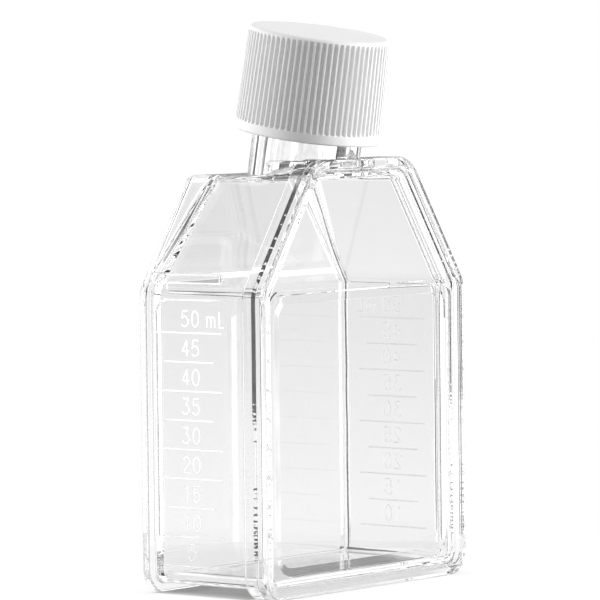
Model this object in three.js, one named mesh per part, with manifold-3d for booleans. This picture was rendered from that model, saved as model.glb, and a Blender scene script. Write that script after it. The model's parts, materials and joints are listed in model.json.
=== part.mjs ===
// Cell culture flask, 25 cm2: a clear moulded body with a canted neck, a clear plate welded over its
// open front, a ribbed screw cap and the liner that the cap seals with.
// Millimetres, +Z up. The flask stands on its end. The neck leans towards the plate, which faces -Y,
// and the growth wall is at +Y. The pieces are drawn about the flask's middle plane, and the whole is
// then moved so that the origin is the middle of its footprint, cap included.
import * as THREE from 'three';
import { mergeVertices } from 'three/addons/utils/BufferGeometryUtils.js';
import Module from 'manifold-3d';

const wasm = await Module();
wasm.setup();

// ---- driving dimensions -------------------------------------------------------------------------

// Outline seen from the front
const FLASK_WIDTH = 55; // over the rims
const FLASK_DEPTH = 27.5; // from the plate's rim to the back rim
const SHOULDER_HEIGHT = 51.5; // where the sides begin to lean in
const SHOULDER_ANGLE = THREE.MathUtils.degToRad(34); // lean of the shoulders, from upright
const FRONT_HEIGHT = 73.3; // top of the front rim
const BACK_HEIGHT = 70.6; // top of the back rim
const BOTTOM_CORNER_RADIUS = 4;
const SHOULDER_CORNER_RADIUS = 4;
const FRONT_TOP_RADIUS = 6;
const BACK_TOP_RADIUS = 3;
const LEAST_CORNER_RADIUS = 0.6; // left on corners that follow an outer one at a distance

// Walls and rims
const SIDE_WALL = 1.3;
const FLOOR_WALL = 1.4;
const END_WALL = 1.4; // the wall that carries the neck, at its back edge
const BACK_WALL = 1.4;
const RIM_PROUD = 1.6; // how far the rims stand out from the side walls
const BACK_RIM_THICKNESS = 1.6;
const BACK_RECESS = 1.3; // the growth wall lies this far inside the back rim's plane
const FLANGE_THICKNESS = 2.95; // the body's own front flange, behind the plate's rim

// Ramp that lifts the growth wall to the neck
const RAMP_START_HEIGHT = 54;
const RAMP_TOP_DEPTH = 8.6; // inner face of the ramp's top, measured from the middle plane

// Front plate
const PLATE_RIM_THICKNESS = 2.15;
const PLATE_RIM_WIDTH = 2.2;
const PLATE_RECESS = 1.3;
const PLATE_SPIGOT = 0.6; // part of the plate that reaches into the flange
const SPIGOT_CLEARANCE = 0.3;
const PANEL_STEP = 0.35; // the framed field is this much deeper than the rest of the plate
const PANEL_SIDE_MARGIN = 5.6; // from the plate's edge to the framed field
const PANEL_FLOOR_MARGIN = 5.2;
const PANEL_TOP_HEIGHT = 49.4;
const PANEL_CORNER_RADIUS = 3;
const BAR_HEIGHT = 0.8; // the two bars above the framed field
const BAR_PROUD = 0.4;
const BAR_GAP = 15; // between the two bars
const BAR_CENTRE_HEIGHT = 51.3;
const BAR_SIDE_MARGIN = 4;
const BAR_END_ROUNDING = 0.9; // 1 would make the bars' ends half round

// Neck
const NECK_CANT = THREE.MathUtils.degToRad(9.8); // lean of the neck towards the plate
const NECK_OFFSET = 0.5; // how far the neck's axis stands in front of the middle plane at its foot
const NECK_RADIUS = 9.4;
const NECK_BORE_RADIUS = 7.4;
const NECK_LENGTH = 18.6; // from the foot, level with the front rim's top, to the mouth
const NECK_ROOT = 6.5; // how far the neck reaches down inside the body
const NECK_PAD_WIDTH = 25; // flat pad between the neck and the front rim
const NECK_PAD_BACK = 2; // the pad's back edge, in front of the middle plane
const NECK_PAD_DROP = 0.2; // the pad's top lies this far under the front rim's top
const END_WALL_RISE = 2.3; // the end wall climbs this much from the middle plane to the flange

// Screw thread, one start, right-handed
const THREAD_LEAD = 5;
const THREAD_TURNS = 1.5;
const THREAD_MOUTH_GAP = 2.5; // from the neck's mouth down to the middle of the thread's last turn
const THREAD_HEIGHT = 1.1; // how far the ridge stands out from the neck
const THREAD_ROOT_WIDTH = 1.9;
const THREAD_CREST_WIDTH = 0.9;
const THREAD_AXIAL_CLEARANCE = 0.45;
const THREAD_RADIAL_CLEARANCE = 0.4;

// Cap
const CAP_FOOT_GAP = 4; // from the neck's foot to the cap's lower edge
const CAP_RADIUS = 12.8; // at the lower edge
const CAP_DRAFT = THREE.MathUtils.degToRad(1.5);
const CAP_TOP_WALL = 1.7;
const CAP_TOP_FILLET = 1.4;
const CAP_BAND_HEIGHT = 1.7; // plain band under the ribs
const CAP_EDGE_RADIUS = 0.3;
const RIB_COUNT = 76;
const RIB_DEPTH = 0.45;
const RIB_CREST_SHARE = 0.45; // share of the pitch that the rib's crest takes
const RIB_ROOT_SHARE = 0.75;
const RIB_TOP_GAP = 1.5; // the ribs end this far under the cap's top

// Liner
const LINER_THICKNESS = 1;
const LINER_SIDE_CLEARANCE = 0.4;
const SEAT_GAP = 0.3; // left between pieces that bear on each other in the leaning neck

const SEGMENTS_PER_ARC = 4;
const NECK_SEGMENTS = 64;
const THREAD_STEP = THREE.MathUtils.degToRad(10);
const THREAD_FADE_STEPS = 4; // steps over which a ridge grows to its full height
const THREAD_END_SHARE = 0.3; // share of a step's growth that the ridge's end face already has
const WELD_DISTANCE = 1e-4; // vertices nearer than this are one vertex
const OVERRUN = 2; // how far a cutting tool passes the faces it cuts
const EMBED = 0.5; // how far a ridge is sunk into the wall that it stands on

// ---- planes and sizes that follow ---------------------------------------------------------------

const FRONT_FACE = -FLASK_DEPTH / 2;
const BACK_FACE = FLASK_DEPTH / 2;
const PLATE_JOINT = FRONT_FACE + PLATE_RIM_THICKNESS;
const FLANGE_BACK = PLATE_JOINT + FLANGE_THICKNESS;
const GROWTH_FACE_OUT = BACK_FACE - BACK_RECESS;
const GROWTH_FACE_IN = GROWTH_FACE_OUT - BACK_WALL;
const WALL_INSET = RIM_PROUD; // outer faces of the side walls, from the rims' outline
const CAVITY_INSET = RIM_PROUD + SIDE_WALL;
const FLOOR_INSET = RIM_PROUD + FLOOR_WALL;
const CAVITY_TOP_BACK = BACK_HEIGHT - END_WALL;
const CAVITY_TOP_FRONT = FRONT_HEIGHT - RIM_PROUD - END_WALL;
const NECK_FOOT = new THREE.Vector3(0, -NECK_OFFSET, FRONT_HEIGHT);
const THREAD_START = NECK_LENGTH - THREAD_MOUTH_GAP - THREAD_LEAD * THREAD_TURNS;
const LINER_BASE = NECK_LENGTH + SEAT_GAP;
const LINER_TOP = LINER_BASE + LINER_THICKNESS;
const CAP_UNDERSIDE = LINER_TOP + SEAT_GAP;
const CAP_TOP = CAP_UNDERSIDE + CAP_TOP_WALL;
const CAP_INNER_RADIUS = NECK_RADIUS + THREAD_HEIGHT + THREAD_RADIAL_CLEARANCE;

// ---- helpers ------------------------------------------------------------------------------------

function solidFrom(geometry) {
  const bare = geometry.index ? geometry.toNonIndexed() : geometry.clone();
  bare.deleteAttribute('normal');
  bare.deleteAttribute('uv');
  const merged = mergeVertices(bare, WELD_DISTANCE);
  return new wasm.Manifold(new wasm.Mesh({
    numProp: 3,
    vertProperties: new Float32Array(merged.attributes.position.array),
    triVerts: new Uint32Array(merged.index.array),
  }));
}

function geometryFrom(solid) {
  const mesh = solid.getMesh();
  const geometry = new THREE.BufferGeometry();
  geometry.setAttribute('position', new THREE.BufferAttribute(mesh.vertProperties, 3));
  geometry.setIndex(new THREE.BufferAttribute(mesh.triVerts, 1));
  geometry.computeVertexNormals();
  return geometry;
}

function union(...solids) {
  return solids.reduce((sum, solid) => sum.add(solid));
}

// A shape through the given corners, each rounded by its own radius. The corners run anticlockwise
// and all of them point outwards.
function roundedShape(corners, radii) {
  const shape = new THREE.Shape();
  corners.forEach((corner, i) => {
    const before = corners[(i + corners.length - 1) % corners.length];
    const after = corners[(i + 1) % corners.length];
    const arriving = corner.clone().sub(before).normalize();
    const leaving = after.clone().sub(corner).normalize();
    const turn = Math.acos(THREE.MathUtils.clamp(arriving.dot(leaving), -1, 1));
    const tangent = radii[i] * Math.tan(turn / 2);
    const start = corner.clone().addScaledVector(arriving, -tangent);
    const outward = new THREE.Vector2(arriving.y, -arriving.x);
    const centre = start.clone().addScaledVector(outward, -radii[i]);
    const fromAngle = Math.atan2(outward.y, outward.x);
    if (i === 0) shape.moveTo(start.x, start.y);
    else shape.lineTo(start.x, start.y);
    shape.absarc(centre.x, centre.y, radii[i], fromAngle, fromAngle + turn, false);
  });
  shape.closePath();
  return shape;
}

// The flask's outline seen from the front, moved in by `inset`, with its own floor and top.
function flaskOutline({ inset, floor = inset, top, topRadius, trim = inset }) {
  const side = FLASK_WIDTH / 2 - inset;
  const slope = Math.tan(SHOULDER_ANGLE);
  const leaning = (height) =>
    FLASK_WIDTH / 2 - inset / Math.cos(SHOULDER_ANGLE) - (height - SHOULDER_HEIGHT) * slope;
  const shoulder = SHOULDER_HEIGHT + (leaning(SHOULDER_HEIGHT) - side) / slope;
  const half = [[side, floor], [side, shoulder], [leaning(top), top]];
  const corners = [...half, ...half.map(([x, z]) => [-x, z]).reverse()];
  const reduce = (radius) => Math.max(radius - trim, LEAST_CORNER_RADIUS);
  const halfRadii = [
    reduce(BOTTOM_CORNER_RADIUS), reduce(SHOULDER_CORNER_RADIUS), reduce(topRadius),
  ];
  return roundedShape(corners.map(([x, z]) => new THREE.Vector2(x, z)),
    [...halfRadii, ...halfRadii.slice().reverse()]);
}

function roundedRectangle(left, right, bottom, top, radius) {
  const corners = [[left, bottom], [right, bottom], [right, top], [left, top]];
  return roundedShape(corners.map(([x, z]) => new THREE.Vector2(x, z)), Array(4).fill(radius));
}

// A front-view shape given thickness from one Y plane to another.
function slab(shape, fromY, toY) {
  const geometry = new THREE.ExtrudeGeometry(shape, {
    depth: toY - fromY, bevelEnabled: false, curveSegments: SEGMENTS_PER_ARC,
  });
  const xAxis = new THREE.Vector3(1, 0, 0);
  const zAxis = new THREE.Vector3(0, 0, 1);
  const backwards = new THREE.Vector3(0, -1, 0);
  geometry.applyMatrix4(new THREE.Matrix4().makeBasis(xAxis, zAxis, backwards));
  geometry.translate(0, toY, 0);
  return solidFrom(geometry);
}

// A side-view outline of [y, z] points, carried across the whole width.
function prism(points, halfWidth = FLASK_WIDTH / 2 + OVERRUN) {
  const shape = new THREE.Shape(points.map(([y, z]) => new THREE.Vector2(y, z)));
  const geometry = new THREE.ExtrudeGeometry(shape, { depth: 2 * halfWidth, bevelEnabled: false });
  const xAxis = new THREE.Vector3(1, 0, 0);
  const yAxis = new THREE.Vector3(0, 1, 0);
  const zAxis = new THREE.Vector3(0, 0, 1);
  geometry.applyMatrix4(new THREE.Matrix4().makeBasis(yAxis, zAxis, xAxis));
  geometry.translate(-halfWidth, 0, 0);
  return solidFrom(geometry);
}

// A turned solid about the Z axis from [radius, height] points.
function turned(profile, segments) {
  const points = profile.map(([radius, height]) => new THREE.Vector2(radius, height));
  const geometry = new THREE.LatheGeometry(points, segments);
  geometry.rotateX(Math.PI / 2);
  return solidFrom(geometry);
}

function cylinder(radius, fromZ, toZ, segments = NECK_SEGMENTS) {
  return turned([[0, fromZ], [radius, fromZ], [radius, toZ], [0, toZ]], segments);
}

// Takes a solid from the neck's own frame, whose Z axis is the neck's axis, to the flask's frame.
function toFlaskFrame(solid) {
  const matrix = new THREE.Matrix4().makeRotationX(NECK_CANT).setPosition(NECK_FOOT);
  return solid.transform(matrix.elements);
}

// A screw ridge about the Z axis. It grows from the base radius to the crest and fades at both ends.
function threadRidge({ baseRadius, crestRadius, startHeight, turns, rootWidth, crestWidth }) {
  const steps = Math.round((turns * 2 * Math.PI) / THREAD_STEP);
  const positions = [];
  for (let i = 0; i <= steps; i += 1) {
    const angle = (i / steps) * turns * 2 * Math.PI;
    const middle = startHeight + (THREAD_LEAD * angle) / (2 * Math.PI);
    const toEnd = Math.min(i, steps - i);
    const grown = Math.min(1, (toEnd + THREAD_END_SHARE) / THREAD_FADE_STEPS);
    const crest = THREE.MathUtils.lerp(baseRadius, crestRadius, grown);
    const section = [
      [baseRadius, -rootWidth / 2], [crest, -crestWidth / 2],
      [crest, crestWidth / 2], [baseRadius, rootWidth / 2],
    ];
    for (const [radius, rise] of section) {
      positions.push(radius * Math.cos(angle), radius * Math.sin(angle), middle + rise);
    }
  }
  const inward = crestRadius < baseRadius;
  const indices = [];
  const addTriangle = (a, b, c) => indices.push(...(inward ? [a, c, b] : [a, b, c]));
  for (let i = 0; i < steps; i += 1) {
    for (let k = 0; k < 4; k += 1) {
      const a = 4 * i + k;
      const b = 4 * i + ((k + 1) % 4);
      addTriangle(a, a + 4, b + 4);
      addTriangle(a, b + 4, b);
    }
  }
  const last = 4 * steps;
  addTriangle(0, 1, 2);
  addTriangle(0, 2, 3);
  addTriangle(last, last + 2, last + 1);
  addTriangle(last, last + 3, last + 2);
  const geometry = new THREE.BufferGeometry();
  geometry.setAttribute('position', new THREE.Float32BufferAttribute(positions, 3));
  geometry.setIndex(indices);
  return solidFrom(geometry);
}

// ---- flask body ---------------------------------------------------------------------------------

// Sides, floor and end wall as one block, with the end wall climbing to the flange.
function bodyBlock() {
  const outline = flaskOutline({ inset: WALL_INSET, top: FRONT_HEIGHT, topRadius: FRONT_TOP_RADIUS });
  const endWallTop = BACK_HEIGHT + END_WALL_RISE;
  return slab(outline, PLATE_JOINT, BACK_FACE).intersect(prism([
    [FRONT_FACE, 0], [BACK_FACE, 0], [BACK_FACE, BACK_HEIGHT], [0, BACK_HEIGHT],
    [FLANGE_BACK, endWallTop], [FRONT_FACE, endWallTop],
  ]));
}

function rims() {
  const front = flaskOutline({ inset: 0, top: FRONT_HEIGHT, topRadius: FRONT_TOP_RADIUS });
  const back = flaskOutline({ inset: 0, top: BACK_HEIGHT, topRadius: BACK_TOP_RADIUS });
  return union(slab(front, PLATE_JOINT, FLANGE_BACK),
    slab(back, BACK_FACE - BACK_RIM_THICKNESS, BACK_FACE));
}

function neckPad() {
  const top = FRONT_HEIGHT - NECK_PAD_DROP;
  return prism([
    [PLATE_JOINT, CAVITY_TOP_BACK], [-NECK_PAD_BACK, CAVITY_TOP_BACK],
    [-NECK_PAD_BACK, top], [PLATE_JOINT, top],
  ], NECK_PAD_WIDTH / 2);
}

function threadedNeck() {
  const tube = cylinder(NECK_RADIUS, -NECK_ROOT, NECK_LENGTH);
  const ridge = threadRidge({
    baseRadius: NECK_RADIUS - EMBED,
    crestRadius: NECK_RADIUS + THREAD_HEIGHT,
    startHeight: THREAD_START,
    turns: THREAD_TURNS,
    rootWidth: THREAD_ROOT_WIDTH,
    crestWidth: THREAD_CREST_WIDTH,
  });
  return toFlaskFrame(tube.add(ridge));
}

// The hollow behind the plate: straight walls, a flat growth wall and the ramp up to the neck.
function bodyCavity() {
  const outline = flaskOutline({
    inset: CAVITY_INSET, floor: FLOOR_INSET, top: CAVITY_TOP_FRONT, topRadius: FRONT_TOP_RADIUS,
  });
  return slab(outline, PLATE_JOINT - OVERRUN, BACK_FACE).intersect(prism([
    [FRONT_FACE - OVERRUN, 0], [GROWTH_FACE_IN, 0], [GROWTH_FACE_IN, RAMP_START_HEIGHT],
    [RAMP_TOP_DEPTH, CAVITY_TOP_BACK], [FLANGE_BACK, CAVITY_TOP_FRONT],
    [FRONT_FACE - OVERRUN, CAVITY_TOP_FRONT],
  ]));
}

// The sunk field inside the back rim, which deepens along the ramp.
function backRecess() {
  const outline = flaskOutline({
    inset: CAVITY_INSET, floor: FLOOR_INSET, top: CAVITY_TOP_BACK, topRadius: BACK_TOP_RADIUS,
  });
  const rampTop = RAMP_TOP_DEPTH + BACK_WALL;
  return slab(outline, 0, BACK_FACE + OVERRUN).intersect(prism([
    [BACK_FACE + OVERRUN, 0], [BACK_FACE + OVERRUN, FRONT_HEIGHT], [rampTop, FRONT_HEIGHT],
    [rampTop, CAVITY_TOP_BACK], [GROWTH_FACE_OUT, RAMP_START_HEIGHT], [GROWTH_FACE_OUT, 0],
  ]));
}

function flaskBody() {
  const bore = toFlaskFrame(cylinder(NECK_BORE_RADIUS, -NECK_ROOT, NECK_LENGTH + OVERRUN));
  return union(bodyBlock(), rims(), neckPad(), threadedNeck())
    .subtract(bodyCavity())
    .subtract(backRecess())
    .subtract(bore);
}

// ---- front plate --------------------------------------------------------------------------------

function plateBars() {
  const inner = BAR_GAP / 2;
  const outer = FLASK_WIDTH / 2 - BAR_SIDE_MARGIN;
  const bottom = BAR_CENTRE_HEIGHT - BAR_HEIGHT / 2;
  const top = BAR_CENTRE_HEIGHT + BAR_HEIGHT / 2;
  const face = FRONT_FACE + PLATE_RECESS;
  return [1, -1].map((side) => {
    const ends = [side * inner, side * outer].sort((a, b) => a - b);
    const shape = roundedRectangle(ends[0], ends[1], bottom, top, (BAR_HEIGHT / 2) * BAR_END_ROUNDING);
    return slab(shape, face - BAR_PROUD, face + EMBED);
  });
}

function frontPlate() {
  const rim = flaskOutline({ inset: 0, top: FRONT_HEIGHT, topRadius: FRONT_TOP_RADIUS });
  const spigot = flaskOutline({
    inset: CAVITY_INSET + SPIGOT_CLEARANCE,
    floor: FLOOR_INSET + SPIGOT_CLEARANCE,
    top: CAVITY_TOP_FRONT - SPIGOT_CLEARANCE,
    topRadius: FRONT_TOP_RADIUS,
  });
  const window = flaskOutline({
    inset: PLATE_RIM_WIDTH, top: FRONT_HEIGHT - PLATE_RIM_WIDTH, topRadius: FRONT_TOP_RADIUS,
  });
  const side = FLASK_WIDTH / 2 - PANEL_SIDE_MARGIN;
  const field = roundedRectangle(-side, side, PANEL_FLOOR_MARGIN, PANEL_TOP_HEIGHT,
    PANEL_CORNER_RADIUS);
  const recessed = slab(rim, FRONT_FACE, PLATE_JOINT)
    .add(slab(spigot, PLATE_JOINT - EMBED, PLATE_JOINT + PLATE_SPIGOT))
    .subtract(slab(window, FRONT_FACE - OVERRUN, FRONT_FACE + PLATE_RECESS))
    .subtract(slab(field, FRONT_FACE - OVERRUN, FRONT_FACE + PLATE_RECESS + PANEL_STEP));
  return union(recessed, ...plateBars());
}

// ---- cap and liner, in the neck's own frame -----------------------------------------------------

function capRadiusAt(height) {
  return CAP_RADIUS - (height - CAP_FOOT_GAP) * Math.tan(CAP_DRAFT);
}

function arcPoints(centreRadius, centreHeight, radius, fromDegrees, toDegrees) {
  return Array.from({ length: SEGMENTS_PER_ARC + 1 }, (_, i) => {
    const angle = THREE.MathUtils.degToRad(
      THREE.MathUtils.lerp(fromDegrees, toDegrees, i / SEGMENTS_PER_ARC));
    return [centreRadius + radius * Math.cos(angle), centreHeight + radius * Math.sin(angle)];
  });
}

function capCore() {
  const foot = CAP_FOOT_GAP;
  const bandTop = foot + CAP_BAND_HEIGHT;
  const shoulder = CAP_TOP - CAP_TOP_FILLET;
  return turned([
    [0, foot],
    ...arcPoints(CAP_RADIUS - CAP_EDGE_RADIUS, foot + CAP_EDGE_RADIUS, CAP_EDGE_RADIUS, -90, 0),
    [capRadiusAt(bandTop), bandTop],
    [capRadiusAt(bandTop) - RIB_DEPTH, bandTop],
    [capRadiusAt(CAP_TOP - RIB_TOP_GAP) - RIB_DEPTH, CAP_TOP - RIB_TOP_GAP],
    ...arcPoints(capRadiusAt(shoulder) - CAP_TOP_FILLET, shoulder, CAP_TOP_FILLET, 0, 90),
    [0, CAP_TOP],
  ], RIB_COUNT);
}

function capRibs() {
  const pitch = (2 * Math.PI) / RIB_COUNT;
  const from = CAP_FOOT_GAP + CAP_BAND_HEIGHT - EMBED;
  const to = CAP_TOP - RIB_TOP_GAP;
  const root = capRadiusAt(from) - RIB_DEPTH;
  const crest = capRadiusAt(from);
  const shape = new THREE.Shape();
  for (let i = 0; i < RIB_COUNT; i += 1) {
    const corners = [
      [root, -RIB_ROOT_SHARE / 2], [crest, -RIB_CREST_SHARE / 2],
      [crest, RIB_CREST_SHARE / 2], [root, RIB_ROOT_SHARE / 2],
    ];
    corners.forEach(([radius, share], k) => {
      const angle = (i + share) * pitch;
      const point = [radius * Math.cos(angle), radius * Math.sin(angle)];
      if (i === 0 && k === 0) shape.moveTo(...point);
      else shape.lineTo(...point);
    });
  }
  const geometry = new THREE.ExtrudeGeometry(shape, { depth: to - from, bevelEnabled: false });
  const position = geometry.attributes.position;
  for (let i = 0; i < position.count; i += 1) {
    const taper = capRadiusAt(from + position.getZ(i)) / crest;
    position.setXY(i, position.getX(i) * taper, position.getY(i) * taper);
  }
  geometry.translate(0, 0, from);
  return solidFrom(geometry);
}

// The cap's ridge hangs under the neck's ridge with the axial clearance between their flanks.
function capThread() {
  const drop = (THREAD_ROOT_WIDTH + THREAD_CREST_WIDTH) / 2 + THREAD_AXIAL_CLEARANCE;
  return threadRidge({
    baseRadius: CAP_INNER_RADIUS + EMBED,
    crestRadius: NECK_RADIUS + THREAD_RADIAL_CLEARANCE,
    startHeight: THREAD_START - drop,
    turns: THREAD_TURNS,
    rootWidth: THREAD_ROOT_WIDTH,
    crestWidth: THREAD_CREST_WIDTH,
  });
}

function screwCap() {
  return capCore()
    .add(capRibs())
    .subtract(cylinder(CAP_INNER_RADIUS, CAP_FOOT_GAP - OVERRUN, CAP_UNDERSIDE))
    .add(capThread());
}

function capLiner() {
  return cylinder(CAP_INNER_RADIUS - LINER_SIDE_CLEARANCE, LINER_BASE, LINER_TOP);
}

// ---- assembly -----------------------------------------------------------------------------------

const clearPolystyrene = { color: 0xe6ebee, roughness: 0.08, metalness: 0, transparent: true, opacity: 0.4 };
const whitePolyethylene = { color: 0xf2f2f0, roughness: 0.42, metalness: 0 };
const linerFoam = { color: 0xdfe0dc, roughness: 0.7, metalness: 0 };

function part(name, solid, material) {
  const mesh = new THREE.Mesh(geometryFrom(solid), new THREE.MeshStandardMaterial(material));
  mesh.name = name;
  return mesh;
}

const closure = new THREE.Group();
closure.position.copy(NECK_FOOT);
closure.rotation.x = NECK_CANT;
closure.add(part('screw_cap', screwCap(), whitePolyethylene));
closure.add(part('cap_liner', capLiner(), linerFoam));

const flask = new THREE.Group();
flask.add(part('flask_body', flaskBody(), clearPolystyrene));
flask.add(part('front_plate', frontPlate(), clearPolystyrene));
flask.add(closure);

const footprint = new THREE.Box3().setFromObject(flask, true);
flask.position.y = -(footprint.min.y + footprint.max.y) / 2;

export default flask;
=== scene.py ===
"""The looks of a 25 cm2 cell culture flask: clear polystyrene, a welded front plate, a ribbed cap.

Sizes are in millimetres in the CAD's own frame, and become metres when a piece is finished.
"""
import json
import math

import bmesh
import bpy
from mathutils import Matrix, Vector


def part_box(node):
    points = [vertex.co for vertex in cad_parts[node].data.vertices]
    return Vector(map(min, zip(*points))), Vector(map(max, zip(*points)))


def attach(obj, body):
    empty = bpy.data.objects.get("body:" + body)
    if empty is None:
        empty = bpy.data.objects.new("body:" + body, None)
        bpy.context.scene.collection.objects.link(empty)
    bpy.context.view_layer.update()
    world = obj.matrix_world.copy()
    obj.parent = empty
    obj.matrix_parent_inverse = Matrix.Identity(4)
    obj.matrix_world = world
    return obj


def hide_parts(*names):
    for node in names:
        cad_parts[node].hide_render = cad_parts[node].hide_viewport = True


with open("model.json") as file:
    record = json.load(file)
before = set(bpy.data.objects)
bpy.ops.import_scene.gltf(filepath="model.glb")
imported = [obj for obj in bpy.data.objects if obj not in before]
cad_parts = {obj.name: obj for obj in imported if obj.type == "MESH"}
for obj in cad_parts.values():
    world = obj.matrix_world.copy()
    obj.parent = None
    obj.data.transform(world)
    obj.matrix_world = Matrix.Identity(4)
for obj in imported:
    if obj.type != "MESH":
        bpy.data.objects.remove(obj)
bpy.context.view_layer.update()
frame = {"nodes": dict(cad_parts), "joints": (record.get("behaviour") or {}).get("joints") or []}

MM = 0.001


# ---- sizes --------

def box_in_mm(node):
    """Lowest and highest corner of a CAD node, in millimetres."""
    low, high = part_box(node)
    return Vector(low) / MM, Vector(high) / MM


plate_low, plate_high = box_in_mm("front_plate")
body_high = box_in_mm("flask_body")[1]
cap_high = box_in_mm("screw_cap")[1]
cap_turn = next(joint for joint in frame["joints"] if joint["name"] == "cap_turn")

# Outline from the front
HALF_WIDTH = plate_high.x
FRONT_TOP = plate_high.z
BACK_TOP = FRONT_TOP - 2.7
SHOULDER_HEIGHT = 51.5
SHOULDER_LEAN = math.radians(34)
BOTTOM_RADIUS = 4.0
SHOULDER_RADIUS = 4.0
FRONT_TOP_RADIUS = 6.0
BACK_TOP_RADIUS = 3.0
LEAST_RADIUS = 0.6

# Planes from the plate to the growth wall
FRONT_FACE = plate_low.y
BACK_FACE = body_high.y
MIDDLE = (FRONT_FACE + BACK_FACE) / 2
SPIGOT = 0.6
JOINT = plate_high.y - SPIGOT
FLANGE_BACK = JOINT + 2.95
BACK_RIM_FRONT = BACK_FACE - 1.6
GROWTH_OUT = BACK_FACE - 1.3
GROWTH_IN = GROWTH_OUT - 1.4
PLATE_OUT = FRONT_FACE + 1.3
JOINT_GAP = 0.03  # half of the distance kept between the meshes of the flange and the plate
SEAM_INSET = 0.45  # the weld's tongue stands this far inside the rim's outline
SEAM_DEPTH = 0.95
SEAM_WIDTH = 0.08

# Walls, as distances from the outline
WALL_INSET = 1.6
CAVITY_INSET = 2.9
PLATE_RIM = 2.2
SPIGOT_INSET = 3.2
END_WALL_RISE = 2.3
CAVITY_TOP_FRONT = FRONT_TOP - 3.0
CAVITY_TOP_BACK = BACK_TOP - 1.4

# Ramp that lifts the growth wall to the neck
RAMP_START = 54.0
RAMP_SLOPE = 0.161
RAMP_KNEE = 2.5  # half the height over which the wall bends
BACK_RIM_SPREAD = 1.5  # the back rim grows wider along the ramp, by this share of its climb
CREASE_FOOT = 51.15
CREASE_CREST = 52.3
CREASE_TOP = 53.6
CREASE_HALF_LENGTH = HALF_WIDTH - CAVITY_INSET - 1.6

# Features of the front plate
FIELD_STEP = 0.24
FIELD_HALF_WIDTH = HALF_WIDTH - 5.6
FIELD_BOTTOM = 5.2
FIELD_TOP = 49.4
FIELD_RADIUS = 2.6
FIELD_BORDER = 1.7
BAR_HEIGHT = 0.8
BAR_PROUD = 0.4
BAR_EASE = (0.12, 0.15)  # the bar's edges are cut over this width and height
BAR_CENTRE = 51.3
BAR_INNER_END = 7.5
WINDOW_RADIUS = 3.2

# Sunk windows of the side walls, and the raised bar over the left one
SIDE_FIELD_STEP = 0.12
SIDE_WINDOW_EDGE = 0.3
SIDE_WINDOW_RADIUS = 2.8
SIDE_WINDOW_BACK = BACK_RIM_FRONT - 0.6
RIGHT_WINDOW = {"side": 1, "front": FLANGE_BACK + 0.5, "bottom": 4.6, "top": 52.0,
                "depth": SIDE_FIELD_STEP, "draw": (1, 1)}
LEFT_WINDOW = {"side": -1, "front": -4.6, "bottom": 5.6, "top": 50.15,
               "depth": 2 * SIDE_FIELD_STEP, "draw": (11, 6)}
SIDE_BAR = (-BACK_RIM_FRONT - 0.3, 2.1, 52.6, 54.5)  # left, right, bottom and top
SIDE_BAR_RADIUS = 0.9

# Neck, in its own frame: Z is its axis and zero is its foot
NECK_FOOT = Vector(cap_turn["pos_m"]) / MM
NECK_CANT = math.atan2(-cap_turn["axis"][1], cap_turn["axis"][2])
NECK_RADIUS = 9.4
NECK_LIP = 0.5
BORE_RADIUS = 7.4
BORE_LIP = 0.4
NECK_LENGTH = 18.6
NECK_ROOT = 6.5
PAD_HALF_WIDTH = 12.5
PAD_BACK = MIDDLE - 2.0
PAD_TOP = FRONT_TOP - 0.2
PAD_RADIUS = 0.5
PAD_ROUND = 0.4
THREAD_LEAD = 5.0
THREAD_TURNS = 1.5
THREAD_START = 8.6
THREAD_HEIGHT = 1.1
THREAD_ROOT = 1.9  # the ridge's width at its root, and at its crest
THREAD_CREST = 0.9
THREAD_SINK = 0.5  # the ridge starts this deep in its wall
THREAD_PLAY = 0.45  # height between the neck's thread and the cap's

# Cap, in the neck's frame
CAP_FOOT = 4.0
CAP_TOP = 21.82
CAP_UNDERSIDE = 20.2
CAP_RADIUS = cap_high.x - 0.045  # just inside the CAD's own cap
CAP_DRAFT = math.tan(math.radians(1.5))
CAP_INNER_RADIUS = 10.9
CAP_THREAD_RADIUS = NECK_RADIUS + 0.4
CAP_TOP_FILLET = 1.0
CAP_FOOT_FILLET = 0.4
CAP_BAND = 1.7
RIB_COUNT = 76
RIB_DEPTH = 0.45
RIB_CREST = 0.26  # the crest's share of a rib's pitch, and a flank's
RIB_FLANK = 0.36
RIB_TOP = CAP_TOP - 0.6
RIB_TOP_FADE = 0.9
RIB_FOOT = CAP_FOOT + CAP_BAND
RIB_FOOT_FADE = 0.55
RIB_WELD = 0.002

# Graduations on the side walls
STROKE_RADIUS = 0.125
STROKE_PROUD = 0.02  # the bead's middle stands this far off the wall
STROKE_STEP = 0.5
LETTER_HEIGHT = 2.65
LETTER_WIDTH = 1.45
LETTER_GAP = 0.75
LETTER_RISE = 1.05  # from a line to the foot of its number

# Fineness of the meshes
CORNER_STEPS = 12
FILLET_STEPS = 5
TURN_STEPS = 128
THREAD_STEPS = 96  # in each turn
RIB_STEPS = 12
OVERRUN = 2.0
SHARP_ANGLE = math.radians(24)

TO_NECK = Matrix.Translation(NECK_FOOT) @ Matrix.Rotation(NECK_CANT, 4, "X")


# ---- mesh tools --------

def new_object(name, vertices, faces, edges=()):
    """An object with its mesh in millimetres; `to_metres` finishes it."""
    mesh = bpy.data.meshes.new(name)
    mesh.from_pydata([tuple(v) for v in vertices], list(edges), faces)
    mesh.validate()
    made = bpy.data.objects.new(name, mesh)
    bpy.context.scene.collection.objects.link(made)
    return made


def mend(made, weld=1e-4):
    """Merges doubles and turns every face outwards."""
    work = bmesh.new()
    work.from_mesh(made.data)
    bmesh.ops.remove_doubles(work, verts=work.verts, dist=weld)
    bmesh.ops.recalc_face_normals(work, faces=work.faces)
    work.to_mesh(made.data)
    work.free()
    return made


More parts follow.
